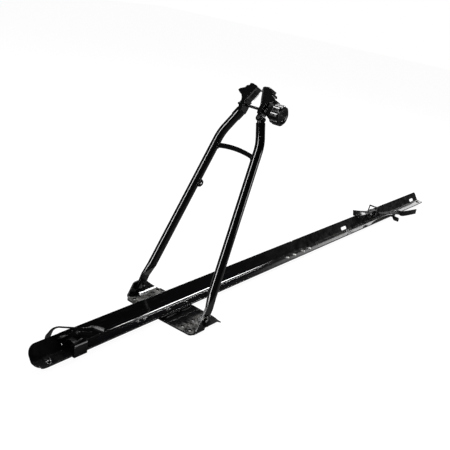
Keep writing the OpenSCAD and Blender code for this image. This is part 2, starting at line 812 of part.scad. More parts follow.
base_plate();
rail_saddle();
rail_rear_half();
rail_front_half();
splice_plate();
splice_bolts();
splice_nuts();
rail_bolts();
rail_nuts();
rail_end_bolts();
left_tube();
right_tube();
cross_brace();
stay_lug();
pivot_bolts();
pivot_washers();
pivot_nuts();
fixed_jaw();
fixed_jaw_pad();
moving_jaw();
moving_jaw_pad();
jaw_lug();
jaw_pin();
clamp_nut();
spindle();
thrust_washer();
knob();
knob_cap();
rear_strap();
rear_buckle();
rear_lever();
rear_lever_pin();
front_strap();
front_buckle();
front_lever();
front_lever_pin();
front_hook();
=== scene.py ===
# Roof bike carrier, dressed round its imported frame: black enamelled steel, a cast clamp with a
# plastic knob, small plated fasteners and two ratchet straps. X runs along the rail, Z is up.
import math

import bmesh
import bpy
from mathutils import Matrix, Vector


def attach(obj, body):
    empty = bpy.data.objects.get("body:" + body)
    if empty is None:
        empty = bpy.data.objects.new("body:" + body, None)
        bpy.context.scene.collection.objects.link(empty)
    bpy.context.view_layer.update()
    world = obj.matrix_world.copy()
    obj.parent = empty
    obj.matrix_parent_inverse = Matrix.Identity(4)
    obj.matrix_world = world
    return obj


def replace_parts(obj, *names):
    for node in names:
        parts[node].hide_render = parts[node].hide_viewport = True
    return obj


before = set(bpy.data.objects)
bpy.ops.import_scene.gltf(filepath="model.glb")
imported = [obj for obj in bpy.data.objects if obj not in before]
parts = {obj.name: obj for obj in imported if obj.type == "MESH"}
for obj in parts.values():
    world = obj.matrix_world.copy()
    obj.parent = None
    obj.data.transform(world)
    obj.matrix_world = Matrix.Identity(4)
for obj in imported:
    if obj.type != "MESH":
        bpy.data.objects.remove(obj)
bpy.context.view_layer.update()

scene = bpy.context.scene

# Camera: stands above and beside the near end of the rail, looks along it and is
# rolled a little, as in the photograph.
sight = {
    "eye": (-0.78133, -0.61003, 0.54659),
    "azimuth": math.radians(34.32297),
    "below": math.radians(20.75656),
    "roll": math.radians(10.00019),
    "lens": 51.99,
}
ahead = Vector((
    math.cos(sight["azimuth"]) * math.cos(sight["below"]),
    math.sin(sight["azimuth"]) * math.cos(sight["below"]),
    -math.sin(sight["below"]),
))
level = Vector((math.sin(sight["azimuth"]), -math.cos(sight["azimuth"]), 0))
sunk = ahead.cross(level)
rightward = level * math.cos(sight["roll"]) - sunk * math.sin(sight["roll"])
downward = level * math.sin(sight["roll"]) + sunk * math.cos(sight["roll"])
camera_data = bpy.data.cameras.new("camera")
camera_data.lens = sight["lens"]
camera_data.sensor_width = 36
camera_data.clip_start = 0.01
camera_data.clip_end = 100
camera = bpy.data.objects.new("camera", camera_data)
turned_to = Matrix((rightward, -downward, -ahead)).transposed()
camera.matrix_world = Matrix.Translation(sight["eye"]) @ turned_to.to_4x4()
scene.collection.objects.link(camera)
scene.camera = camera
scene.view_settings.view_transform = "Standard"


# Studio: a plain pale floor that shows white, soft boxes ahead, above and at both sides,
# and a pale band low behind the carrier, which the flat black sheet mirrors.
def wire(tree, kind, inputs=None, **settings):
    made = tree.nodes.new(kind)
    for key, value in settings.items():
        setattr(made, key, value)
    for key, value in (inputs or {}).items():
        if isinstance(value, bpy.types.NodeSocket):
            tree.links.new(value, made.inputs[key])
        else:
            made.inputs[key].default_value = value
    return made


def soft_box(name, at, towards, width, height, glow):
    lamp_data = bpy.data.lights.new(name, "AREA")
    lamp_data.shape = "RECTANGLE"
    lamp_data.size = width
    lamp_data.size_y = height
    lamp_data.energy = glow * math.pi * width * height
    lamp = bpy.data.objects.new(name, lamp_data)
    aim = (Vector(towards) - Vector(at)).to_track_quat("-Z", "Y")
    lamp.matrix_world = Matrix.Translation(at) @ aim.to_matrix().to_4x4()
    scene.collection.objects.link(lamp)


soft_box("box_ahead", (1.65, -0.444, 1.52), (0.1, 0, 0.02), width=0.75, height=0.62, glow=24)
soft_box("box_left", (-1.66, 0.72, 0.7), (0.0, 0, 0.25), width=0.3, height=1.5, glow=15)
soft_box("box_above", (0.12, 0.78, 2.14), (0.13, -0.03, 0.36), width=0.7, height=0.5, glow=30)
soft_box("box_right", (1.2, -1.9, 0.22), (0.1, 0, 0.2), width=0.4, height=0.6, glow=5)

floor_low = -0.0008
shape = bmesh.new()
bmesh.ops.create_grid(shape, x_segments=1, y_segments=1, size=6)
bmesh.ops.translate(shape, verts=shape.verts, vec=(0.4, 0, floor_low))
floor_mesh = bpy.data.meshes.new("floor")
shape.to_mesh(floor_mesh)
shape.free()
floor = bpy.data.objects.new("floor", floor_mesh)
scene.collection.objects.link(floor)
pale_floor = bpy.data.materials.new("pale_floor")
pale_floor.use_nodes = True
tree = pale_floor.node_tree
tree.nodes.clear()
ray = wire(tree, "ShaderNodeLightPath")
floor_matt = wire(tree, "ShaderNodeBsdfDiffuse", {"Color": (0.10, 0.10, 0.10, 1)})
floor_white = wire(tree, "ShaderNodeEmission", {"Color": (1, 1, 1, 1), "Strength": 0.95})
seen_white = wire(tree, "ShaderNodeAddShader", {0: floor_matt.outputs[0], 1: floor_white.outputs[0]})
floor_mix = wire(tree, "ShaderNodeMixShader", {
    0: ray.outputs["Is Camera Ray"], 1: floor_matt.outputs[0], 2: seen_white.outputs[0]})
wire(tree, "ShaderNodeOutputMaterial", {"Surface": floor_mix.outputs[0]})
floor_mesh.materials.append(pale_floor)

studio = bpy.data.worlds.new("studio")
scene.world = studio
studio.use_nodes = True
tree = studio.node_tree
tree.nodes.clear()
ray = wire(tree, "ShaderNodeLightPath")
sky = wire(tree, "ShaderNodeTexCoord").outputs["Generated"]
height = wire(tree, "ShaderNodeSeparateXYZ", {0: sky}).outputs["Z"]
low_band = wire(tree, "ShaderNodeMapRange", {
    "Value": height, "From Min": 0.30, "From Max": 0.42, "To Min": 2.0, "To Max": 0.02},
    interpolation_type="SMOOTHSTEP")
behind = wire(tree, "ShaderNodeVectorMath", {0: sky, 1: (0.906, 0.423, 0)}, operation="DOT_PRODUCT")
behind_band = wire(tree, "ShaderNodeMapRange", {
    "Value": behind.outputs["Value"], "From Min": 0.84, "From Max": 0.93, "To Min": 0.01, "To Max": 1.0})
wall_glow = wire(tree, "ShaderNodeMath", {0: low_band.outputs[0], 1: behind_band.outputs[0]},
                 operation="MULTIPLY")
mirrored = wire(tree, "ShaderNodeBackground", {"Strength": wall_glow.outputs[0]})
fill = wire(tree, "ShaderNodeBackground", {"Color": (0.25, 0.25, 0.25, 1), "Strength": 1.0})
white = wire(tree, "ShaderNodeBackground", {"Color": (1, 1, 1, 1), "Strength": 1.0})
lit = wire(tree, "ShaderNodeMixShader", {
    0: ray.outputs["Is Glossy Ray"], 1: fill.outputs[0], 2: mirrored.outputs[0]})
seen = wire(tree, "ShaderNodeMixShader", {
    0: ray.outputs["Is Camera Ray"], 1: lit.outputs[0], 2: white.outputs[0]})
wire(tree, "ShaderNodeOutputWorld", {"Surface": seen.outputs[0]})


# Base plate, rail and saddle: pressed steel sheet with black gloss enamel. The plate is
# folded up at both ends, the rail is a channel with one flared wall, cut in two halves.
def new_group(name, inputs, outputs):
    tree = bpy.data.node_groups.new(name, "ShaderNodeTree")
    for label, value in inputs.items():
        socket = tree.interface.new_socket(label, in_out="INPUT", socket_type="NodeSocketFloat")
        socket.default_value = value
    for label, kind in outputs.items():
        tree.interface.new_socket(label, in_out="OUTPUT", socket_type=kind)
    given = tree.nodes.new("NodeGroupInput").outputs
    result = tree.nodes.new("NodeGroupOutput").inputs
    return tree, given, result


def place_group(tree, group, **values):
    made = tree.nodes.new("ShaderNodeGroup")
    made.node_tree = group
    for key, value in values.items():
        made.inputs[key.replace("_", " ")].default_value = value
    return made.outputs


# Slow drift of a value over the surface, between two limits
drift, given, result = new_group("drift", {"Scale": 12, "Low": 0.1, "High": 0.3},
                                 {"Value": "NodeSocketFloat"})
point = wire(drift, "ShaderNodeTexCoord").outputs["Object"]
cloud = wire(drift, "ShaderNodeTexNoise", {
    "Vector": point, "Scale": given["Scale"], "Detail": 5, "Roughness": 0.6})
spread = wire(drift, "ShaderNodeMapRange", {
    "Value": cloud.outputs[0], "From Min": 0.3, "From Max": 0.7,
    "To Min": given["Low"], "To Max": given["High"]})
drift.links.new(spread.outputs[0], result["Value"])

# Dust that has settled on what faces up
dust, given, result = new_group("dust", {"Amount": 0.2, "Scale": 60, "Spread": 1},
                                {"Mask": "NodeSocketFloat"})
point = wire(dust, "ShaderNodeTexCoord").outputs["Object"]
facing = wire(dust, "ShaderNodeSeparateXYZ", {0: wire(dust, "ShaderNodeNewGeometry").outputs["Normal"]})
upward = wire(dust, "ShaderNodeMapRange", {"Value": facing.outputs["Z"], "From Min": 0.35, "From Max": 0.95})
patches = wire(dust, "ShaderNodeTexNoise", {
    "Vector": point, "Scale": given["Scale"], "Detail": 8, "Roughness": 0.75})
patchy = wire(dust, "ShaderNodeMapRange", {"Value": patches.outputs[0], "From Min": 0.42, "From Max": 0.72})
specks = wire(dust, "ShaderNodeTexVoronoi", {"Vector": point, "Scale": 900})
speckled = wire(dust, "ShaderNodeMapRange", {
    "Value": specks.outputs["Distance"], "From Min": 0.12, "From Max": 0.3, "To Min": 1.0, "To Max": 0.35})
both = wire(dust, "ShaderNodeMath", {0: patchy.outputs[0], 1: speckled.outputs[0]}, operation="MULTIPLY")
settled = wire(dust, "ShaderNodeMath", {0: both.outputs[0], 1: upward.outputs[0]}, operation="MULTIPLY")
spread_out = wire(dust, "ShaderNodeMath", {0: settled.outputs[0], 1: given["Spread"]}, operation="MULTIPLY")
amount = wire(dust, "ShaderNodeMath", {0: spread_out.outputs[0], 1: given["Amount"]}, operation="MULTIPLY")
dust.links.new(amount.outputs[0], result["Mask"])

# Softened edges, with the places where the finish has rubbed through
rubbed, given, result = new_group("rubbed", {"Radius": 0.0006, "Amount": 0.5},
                                  {"Mask": "NodeSocketFloat", "Normal": "NodeSocketVector"})
point = wire(rubbed, "ShaderNodeTexCoord").outputs["Object"]
rounded = wire(rubbed, "ShaderNodeBevel", {"Radius": given["Radius"]}, samples=6)
true_face = wire(rubbed, "ShaderNodeNewGeometry").outputs["True Normal"]
same = wire(rubbed, "ShaderNodeVectorMath", {0: rounded.outputs[0], 1: true_face}, operation="DOT_PRODUCT")
edge = wire(rubbed, "ShaderNodeMapRange", {
    "Value": same.outputs["Value"], "From Min": 0.97, "From Max": 0.88, "To Min": 0, "To Max": 1})
chips = wire(rubbed, "ShaderNodeTexNoise", {"Vector": point, "Scale": 160, "Detail": 6, "Roughness": 0.7})
chipped = wire(rubbed, "ShaderNodeMapRange", {"Value": chips.outputs[0], "From Min": 0.50, "From Max": 0.62})
worn = wire(rubbed, "ShaderNodeMath", {0: edge.outputs[0], 1: chipped.outputs[0]}, operation="MULTIPLY")
amount = wire(rubbed, "ShaderNodeMath", {0: worn.outputs[0], 1: given["Amount"]}, operation="MULTIPLY")
rubbed.links.new(amount.outputs[0], result["Mask"])
rubbed.links.new(rounded.outputs[0], result["Normal"])

# Fine scratches that run mostly one way
scratched, given, result = new_group("scratched", {"Scale": 30, "Amount": 0.3},
                                     {"Mask": "NodeSocketFloat"})
point = wire(scratched, "ShaderNodeTexCoord").outputs["Object"]
drawn_out = wire(scratched, "ShaderNodeMapping", {
    "Vector": point, "Rotation": (0.2, 0.1, 0.45), "Scale": (1, 24, 24)})
hairs = wire(scratched, "ShaderNodeTexNoise", {
    "Vector": drawn_out.outputs[0], "Scale": given["Scale"], "Detail": 4})
thin = wire(scratched, "ShaderNodeMapRange", {"Value": hairs.outputs[0], "From Min": 0.66, "From Max": 0.74})
amount = wire(scratched, "ShaderNodeMath", {0: thin.outputs[0], 1: given["Amount"]}, operation="MULTIPLY")
scratched.links.new(amount.outputs[0], result["Mask"])


def blend_colour(tree, mask, under, over):
    made = wire(tree, "ShaderNodeMix", {"Factor": mask}, data_type="RGBA")
    for socket, value in ((made.inputs[6], under), (made.inputs[7], over)):
        if isinstance(value, bpy.types.NodeSocket):
            tree.links.new(value, socket)
        else:
            socket.default_value = value
    return made.outputs[2]


def blend_value(tree, mask, under, over):
    return wire(tree, "ShaderNodeMix", {"Factor": mask, 2: under, 3: over}, data_type="FLOAT").outputs[0]


def new_material(name):
    material = bpy.data.materials.new(name)
    material.use_nodes = True
    tree = material.node_tree
    tree.nodes.clear()
    shader = tree.nodes.new("ShaderNodeBsdfPrincipled")
    wire(tree, "ShaderNodeOutputMaterial", {"Surface": shader.outputs[0]})
    return material, tree, shader


DUST_GREY = (0.20, 0.195, 0.185, 1)
BARE_STEEL = (0.30, 0.295, 0.285, 1)


def enamel(name, colour, low, high, peel, dust_amount, wear, radius=0.0006, reach=None, coat=0.8):
    """Black enamel; reach names an axis and where along it, both ways, the grey dust layer goes from thin to
    full.
    """
    material, tree, shader = new_material(name)
    edge = place_group(tree, rubbed, Radius=radius, Amount=wear)
    dirt = place_group(tree, dust, Amount=dust_amount)
    point = wire(tree, "ShaderNodeTexCoord").outputs["Object"]
    if reach:
        axis, thin_until, thick_from = reach
        along = wire(tree, "ShaderNodeSeparateXYZ", {0: point})
        away = wire(tree, "ShaderNodeMath", {0: along.outputs[axis]}, operation="ABSOLUTE")
        # Short of the reach the enamel stays clean black; on the plate that black strip beside the rail is
        # painted shade.
        thick = wire(tree, "ShaderNodeMapRange", {
            "Value": away.outputs[0], "From Min": thin_until, "From Max": thick_from, "To Min": 0.02, "To Max": 1.0})
        tree.links.new(thick.outputs[0], dirt["Mask"].node.inputs["Spread"])
    gloss = place_group(tree, drift, Scale=14, Low=low, High=high)
    hairline = place_group(tree, scratched, Amount=0.35)
    painted = blend_colour(tree, hairline["Mask"], colour, (0.07, 0.07, 0.075, 1))
    chipped = blend_colour(tree, edge["Mask"], painted, BARE_STEEL)
    dusted = blend_colour(tree, dirt["Mask"], chipped, DUST_GREY)
    tree.links.new(dusted, shader.inputs["Base Color"])
    rougher = blend_value(tree, dirt["Mask"], gloss["Value"], 0.75)
    tree.links.new(rougher, shader.inputs["Roughness"])
    orange = wire(tree, "ShaderNodeTexNoise", {"Vector": point, "Scale": 420, "Detail": 2})
    bump = wire(tree, "ShaderNodeBump", {
        "Strength": peel, "Distance": 0.00012, "Height": orange.outputs[0], "Normal": edge["Normal"]})
    tree.links.new(bump.outputs[0], shader.inputs["Normal"])
    shader.inputs["IOR"].default_value = 1.5
    shader.inputs["Coat Weight"].default_value = coat
    shader.inputs["Coat Roughness"].default_value = 0.06
    return material


# The rail's enamel turns patchy grey further out along X, both ways: hardly at all within 0.22 m, fully from
# 0.5 m.
sheet_black = enamel("sheet_black", (0.0025, 0.0025, 0.003, 1), low=0.05, high=0.12, peel=0.04,
                     dust_amount=0.9, wear=0.15, reach=("X", 0.22, 0.5))
# The plate's wings: the grey dust on their outer parts is real; the black strip kept clean within 36 to 48 mm
# of the middle, beside the rail, is painted shade.
plate_black = enamel("plate_black", (0.003, 0.003, 0.0035, 1), low=0.08, high=0.16, peel=0.06,
                     dust_amount=2.6, wear=0.2, reach=("Y", 0.036, 0.048))
tube_black = enamel("tube_black", (0.0025, 0.0025, 0.003, 1), low=0.05, high=0.14, peel=0.12,
                    dust_amount=0.12, wear=0.25)
weld_black = enamel("weld_black", (0.003, 0.003, 0.003, 1), low=0.40, high=0.55, peel=0.05,
                    dust_amount=0.02, wear=0.05, coat=0.0)


def dress(material, *names):
    for name in names:
        mesh = parts[name].data
        mesh.materials.clear()
        mesh.materials.append(material)


dress(sheet_black, "rail_saddle", "rail_rear_half", "rail_front_half", "splice_plate")
dress(plate_black, "base_plate")


# Welds: short steel runs laid under the enamel, along the saddle's feet, round the ends
# of the brace and at the lug. Each is a row of overlapping ripples.
def place(name, shape, body, material, crease=32, recalc=True):
    bmesh.ops.remove_doubles(shape, verts=shape.verts, dist=0.0005)
    if recalc:
        bmesh.ops.recalc_face_normals(shape, faces=shape.faces)
    bmesh.ops.scale(shape, vec=(0.001, 0.001, 0.001), verts=shape.verts)
    mesh = bpy.data.meshes.new(name)
    shape.to_mesh(mesh)
    shape.free()
    mesh.materials.append(material)
    for face in mesh.polygons:
        face.use_smooth = True
    mesh.set_sharp_from_angle(angle=math.radians(crease))
    piece = bpy.data.objects.new(name, mesh)
    scene.collection.objects.link(piece)
    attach(piece, body)
    return piece


def move(x=0, y=0, z=0):
    return Matrix.Translation((x, y, z))


def turn(degrees, axis):
    return Matrix.Rotation(math.radians(degrees), 4, axis)


# The arm's own frame in millimetres, from the hinge: q along Y, s up the arm
HINGE = move(-7.5, 0, 17.5)
ARM_LEAN = 66.7
on_arm = HINGE @ turn(90 - ARM_LEAN, "Y")


def weld_row(shape, path, radius=1.5, squash=0.8):
    for first, second in zip(path, path[1:]):
        first, second = Vector(first), Vector(second)
        ripples = max(1, round((second - first).length / (radius * 0.75)))
        for k in range(ripples):
            at = first.lerp(second, k / ripples)
            size = 1 + 0.12 * math.sin(7.1 * k + at.x)
            spot = move(*at) @ Matrix.Diagonal((size, size, size * squash, 1))
            bmesh.ops.create_uvsphere(shape, u_segments=8, v_segments=6, radius=radius, matrix=spot)


SADDLE_FOOT_Y = 13.3
shape = bmesh.new()
for side in (-1, 1):
    for start in (-31, 8):
        beside = side * (SADDLE_FOOT_Y + 0.5)
        weld_row(shape, [(start, beside, 3.2), (start + 23, beside, 3.2)])
place("saddle_welds", shape, "carrier", weld_black, recalc=False)


# Arm: two drawn steel tubes, flattened and drilled at the foot, bent once near the top and
# joined by an arched flat bar; a half-round lug is welded on the left one. All enamelled.
dress(tube_black, "left_tube", "right_tube", "cross_brace", "stay_lug")

FOOT_Q = 73.4
LOW_LEAN = 6.0
BRACE_S, BRACE_HALF_T = 279.5, 2.8
LUG_S, LUG_HALF_T = 208, 1.9


def tube_side(s, inward):
    """How far out a tube lies at height s, less inward."""
    return FOOT_Q - s * math.tan(math.radians(LOW_LEAN)) - inward


shape = bmesh.new()
for side in (-1, 1):
    at_tube = tube_side(BRACE_S, 7.7)
    for face in (-BRACE_HALF_T, BRACE_HALF_T):
        row = [on_arm @ Vector((face, side * at_tube, BRACE_S + step)) for step in (-4.5, 3.5)]
        weld_row(shape, row, 1.1, 1)
at_tube = tube_side(LUG_S, 7.9)
for face in (-LUG_HALF_T, LUG_HALF_T):
    row = [on_arm @ Vector((face, at_tube - step * 0.1, LUG_S + step)) for step in (-6.5, 6.5)]
    weld_row(shape, row, 1.0, 1)
place("arm_welds", shape, "arm", tube_black, recalc=False)


# Fasteners: cold-formed steel, zinc plated and gone dull. Hexagons are chamfered, the rail's
# bolts have low round heads with a recess for the key, and the hinge nuts a locking collar.
def metal(name, colour, low, high, grime):
    material, tree, shader = new_material(name)
    edge = place_group(tree, rubbed, Radius=0.0003, Amount=0.6)
    gloss = place_group(tree, drift, Scale=90, Low=low, High=high)
    hairline = place_group(tree, scratched, Scale=120, Amount=0.5)
    dirt = place_group(tree, drift, Scale=240, Low=0.0, High=grime)
    tone = blend_colour(tree, dirt["Value"], colour, (0.05, 0.048, 0.045, 1))
    bright = blend_colour(tree, edge["Mask"], tone, (0.75, 0.75, 0.74, 1))
    tree.links.new(bright, shader.inputs["Base Color"])
    tree.links.new(blend_value(tree, hairline["Mask"], gloss["Value"], 0.55), shader.inputs["Roughness"])
    tree.links.new(edge["Normal"], shader.inputs["Normal"])
    shader.inputs["Metallic"].default_value = 1.0
    return material


zinc = metal("zinc", (0.46, 0.46, 0.45, 1), low=0.22, high=0.42, grime=0.5)
dark_steel = metal("dark_steel", (0.035, 0.035, 0.037, 1), low=0.22, high=0.36, grime=0.6)


def turned(shape, line, at, steps=48):
    """A line of (radius, height) points, turned once round the local Z axis."""
    before = set(shape.verts)
    points = [shape.verts.new((r, 0, z)) for r, z in line]
    edges = [shape.edges.new(pair) for pair in zip(points, points[1:])]
    bmesh.ops.spin(shape, geom=points + edges, cent=(0, 0, 0), axis=(0, 0, 1),
                   angle=math.tau, steps=steps, use_merge=True)
    bmesh.ops.transform(shape, matrix=at, verts=[v for v in shape.verts if v not in before])


def hexagon(shape, across, height, at):
    """A hexagon head that stands on the local XY plane, its top edge chamfered."""
    before = set(shape.verts)
    corner = across / math.sqrt(3)
    bmesh.ops.create_cone(shape, cap_ends=True, segments=6, radius1=corner, radius2=corner,
                          depth=height, matrix=move(0, 0, height / 2))
    top = [e for e in shape.edges if all(v not in before and v.co.z > height * 0.9 for v in e.verts)]
    bmesh.ops.bevel(shape, geom=top, affect="EDGES", offset=across * 0.07, segments=2,
                    profile=0.5, material=-1)
    bmesh.ops.transform(shape, matrix=at, verts=[v for v in shape.verts if v not in before])


def socket_bolt(shape, x, y, z, shank):
    """Low round head with a round recess, standing on z, and its shank below."""
    head_r, head_t, deep = 4.2, 2.4, 1.1
    socket = [(0, head_t - deep), (1.3, head_t - deep), (1.5, head_t), (2.2, head_t)]
    dome = [(3.4, head_t * 0.8), (head_r, head_t * 0.35), (head_r, 0)]
    stem = [(2.5, 0), (2.5, -shank + 0.4), (2.2, -shank), (0, -shank)]
    turned(shape, socket + dome + stem, move(x, y, z), 24)


BOLT_Y, FLOOR_Z, JOINT_X = -7.3, 12.9, 402
JOINT_STEPS, SADDLE_BOLT_X, END_BOLT_X = (-46, -18, 18, 46), (-22, 22), (-269, 1089)
shape = bmesh.new()
for step in JOINT_STEPS:
    socket_bolt(shape, JOINT_X + step, BOLT_Y, FLOOR_Z, 8.6)
bolts = place("joint_bolts", shape, "carrier", zinc)
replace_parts(bolts, "splice_bolts")
shape = bmesh.new()
for x in SADDLE_BOLT_X:
    socket_bolt(shape, x, BOLT_Y, FLOOR_Z, 8.4)
bolts = place("saddle_bolts", shape, "carrier", sheet_black)
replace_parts(bolts, "rail_bolts")
shape = bmesh.new()
for x in END_BOLT_X:
    socket_bolt(shape, x, BOLT_Y, FLOOR_Z, 5)
bolts = place("end_bolts", shape, "carrier", sheet_black)
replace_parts(bolts, "rail_end_bolts")
dress(zinc, "splice_nuts")
dress(sheet_black, "rail_nuts")

# Hinge bolts with their washers and locking nuts
HEAD_Y, HEAD_ACROSS, HEAD_T, FLANGE_T = 79, 12.7, 3.1, 1.4
shape = bmesh.new()
for side in (-1, 1):
    outward = HINGE @ move(0, side * HEAD_Y, 0) @ turn(-90 * side, "X")
    turned(shape, [(3.9, 0), (8, 0), (8, FLANGE_T - 0.3), (7.7, FLANGE_T), (3.9, FLANGE_T)], outward)
    hexagon(shape, HEAD_ACROSS, HEAD_T, outward @ move(0, 0, FLANGE_T))
    turned(shape, [(0, 0.5), (4, 0.5), (4, -14.9), (3.4, -15.6), (0, -15.6)], outward, 32)
hinge_bolts = place("hinge_bolts", shape, "carrier", dark_steel)
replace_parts(hinge_bolts, "pivot_bolts")
dress(dark_steel, "pivot_washers", "pivot_nuts")


# Clamp jaws: two mirrored aluminium castings with stepped backs, painted black. The left one
# is pressed on its tube, the right one turns on a pin through a forked lug.
casting_black = enamel("casting_black", (0.0025, 0.0025, 0.003, 1), low=0.08, high=0.16, peel=0.05,
                       dust_amount=0.04, wear=0.1, radius=0.0008)


def slab(shape, outline, low, high, at, soften=0.0, segments=2):
    """An outline in the local XY plane, given thickness from low to high and soft edges."""
    old_verts, old_edges = set(shape.verts), set(shape.edges)
    face = shape.faces.new([shape.verts.new((x, y, 0)) for x, y in outline])
    bmesh.ops.solidify(shape, geom=[face], thickness=high - low)
    new_verts = [v for v in shape.verts if v not in old_verts]
    lowest = min(v.co.z for v in new_verts)
    bmesh.ops.translate(shape, verts=new_verts, vec=(0, 0, low - lowest))
    if soften:
        edges = [e for e in shape.edges if e not in old_edges]
        bmesh.ops.bevel(shape, geom=edges, affect="EDGES", offset=soften, segments=segments,
                        profile=0.5, material=-1, clamp_overlap=True)
    bmesh.ops.transform(shape, matrix=at, verts=[v for v in shape.verts if v not in old_verts])


# A slab's outline is drawn in Y and Z, and its thickness runs along X
outline_on_yz = Matrix(((0, 0, 1, 0), (1, 0, 0, 0), (0, 1, 0, 0), (0, 0, 0, 1)))
PIVOT_Q, PIVOT_S = 22.54, 345.11
LEFT_JAW = on_arm
RIGHT_JAW = (on_arm @ move(0, -PIVOT_Q, PIVOT_S) @ turn(8, "X") @ move(0, PIVOT_Q, -PIVOT_S)
             @ Matrix.Diagonal((1, -1, 1, 1)))
dress(casting_black, "fixed_jaw", "moving_jaw", "jaw_lug")
dress(dark_steel, "jaw_pin", "clamp_nut", "thrust_washer")


# Jaw pads: moulded rubber strips with cross ribs, pressed on the gripping sides.
def moulded(name, colour, low, high, grain_scale, grain, dust_amount, sheen=0.0):
    material, tree, shader = new_material(name)
    edge = place_group(tree, rubbed, Radius=0.0004, Amount=0.25)
    dirt = place_group(tree, dust, Amount=dust_amount)
    gloss = place_group(tree, drift, Scale=70, Low=low, High=high)
    point = wire(tree, "ShaderNodeTexCoord").outputs["Object"]
    rubbed_pale = blend_colour(tree, edge["Mask"], colour, (0.12, 0.12, 0.12, 1))
    tree.links.new(blend_colour(tree, dirt["Mask"], rubbed_pale, DUST_GREY), shader.inputs["Base Color"])
    tree.links.new(blend_value(tree, dirt["Mask"], gloss["Value"], 0.8), shader.inputs["Roughness"])
    pebble = wire(tree, "ShaderNodeTexNoise", {"Vector": point, "Scale": grain_scale, "Detail": 3})
    bump = wire(tree, "ShaderNodeBump", {
        "Strength": grain, "Distance": 0.00015, "Height": pebble.outputs[0], "Normal": edge["Normal"]})
    tree.links.new(bump.outputs[0], shader.inputs["Normal"])
    shader.inputs["IOR"].default_value = 1.48
    shader.inputs["Sheen Weight"].default_value = sheen
    return material


pad_rubber = moulded("pad_rubber", (0.012, 0.012, 0.012, 1), low=0.5, high=0.75, grain_scale=1800,
                     grain=0.5, dust_amount=0.2, sheen=0.1)
PAD = [(2.1, 390.9), (2, 388.5), (4.3, 385.1), (9.3, 373.4), (12.1, 368.1), (14.9, 368.1), (11.75, 374.6),
       (6.65, 386.25), (4.65, 390.9)]
PAD_HALF = 9


def ribbed_pad(shape, at):
    slab(shape, PAD, -PAD_HALF, PAD_HALF, at @ outline_on_yz, 0.35)
    low, high = Vector((9.15, 373.75)), Vector((4.45, 384.75))
    lean = math.degrees(math.atan2(high.y - low.y, high.x - low.x))
    for k in range(7):
        spot = low.lerp(high, k / 6)
        rib = move(spot.x, spot.y, 0) @ turn(lean, "Z") @ Matrix.Diagonal((0.9, 0.7, 16.6, 1))
        bmesh.ops.create_cube(shape, size=1, matrix=at @ outline_on_yz @ rib)


for name, jaw, body, node in (("left_pad", LEFT_JAW, "arm", "fixed_jaw_pad"),
                              ("right_pad", RIGHT_JAW, "moving_jaw", "moving_jaw_pad")):
    shape = bmesh.new()
    ribbed_pad(shape, jaw)
    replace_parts(place(name, shape, body, pad_rubber), node)


# Spindle and knob: a 5 mm steel rod with a rolled thread, in a moulded plastic star knob with
# eight finger grooves and a round cap over the rod's end.
KNOB = on_arm @ move(0, -29.2, 360) @ turn(90, "X")
PITCH, THREAD_DEPTH, ROD_R = 1.25, 0.42, 2.5
ROD_LOW, ROD_HIGH, RINGS = -61.2, 20.0, 330
shape = bmesh.new()
flank = [(ROD_R, ROD_LOW + (ROD_HIGH - ROD_LOW) * k / RINGS) for k in range(RINGS + 1)]
turned(shape, [(0, ROD_LOW)] + flank + [(0, ROD_HIGH)], Matrix.Identity(4), 18)
for v in shape.verts:
    radius = math.hypot(v.co.x, v.co.y)
    if radius > 1:
        phase = (v.co.z / PITCH - math.atan2(v.co.y, v.co.x) / math.tau) % 1
        crest = ROD_R - THREAD_DEPTH * (1 - abs(2 * phase - 1))
        if v.co.z < ROD_LOW + 0.6:
            crest = min(crest, 2.1)
        v.co.x *= crest / radius
        v.co.y *= crest / radius
bmesh.ops.transform(shape, matrix=KNOB, verts=shape.verts)
rod = place("threaded_rod", shape, "knob", dark_steel, crease=50)
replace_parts(rod, "spindle")

knob_plastic = moulded("knob_plastic", (0.003, 0.003, 0.0035, 1), low=0.14, high=0.24, grain_scale=900,
                       grain=0.12, dust_amount=0.08)
GROOVES, GROOVE_AT, GROOVE_R, GROOVE_EDGE = 8, 20.9, 5.6, 0.5
GRIP_LOW, GRIP_R = 11.8, 12
side = [(17.5, 16.2 + 12.2 * k / 14) for k in range(15)]
neck = [(8.2 + 6.2 * k / 8, 2.6 + 11.0 * k / 8) for k in range(9)]
shape = bmesh.new()
foot = [(2.55, 0.2), (2.9, 0), (7.2, 0), (7.5, 0.3), (7.5, 2.3)]
shoulder = [(15.3, 13.9), (16.6, 14.5), (17.3, 15.3)]
face = [(17.3, 29.6), (16.6, 30.9), (15.5, 31.7), (14.2, 32), (12.4, 32), (11.6, 31.7),
        (9.4, 31.3), (8.8, 31)]
recess = [(8.52, 30.5), (8.52, 27), (2.55, 27), (2.55, 0.2)]
turned(shape, foot + neck + shoulder + side + face + recess, Matrix.Identity(4), 144)
for v in shape.verts:
    radius = math.hypot(v.co.x, v.co.y)
    if v.co.z > GRIP_LOW and radius > GRIP_R:
        off = math.atan2(v.co.y, v.co.x) * GROOVES / math.tau % 1 - 0.5
        off *= math.tau / GROOVES
        reach = GROOVE_R ** 2 - (GROOVE_AT * math.sin(off)) ** 2
        if reach > 0:
            cut = GROOVE_AT * math.cos(off) - math.sqrt(reach)
            least = 0.5 * (cut + radius - math.sqrt((cut - radius) ** 2 + GROOVE_EDGE))
            v.co.x *= least / radius
            v.co.y *= least / radius
bmesh.ops.transform(shape, matrix=KNOB @ turn(22.5, "Z"), verts=shape.verts)
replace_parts(place("star_knob", shape, "knob", knob_plastic, crease=40), "knob")

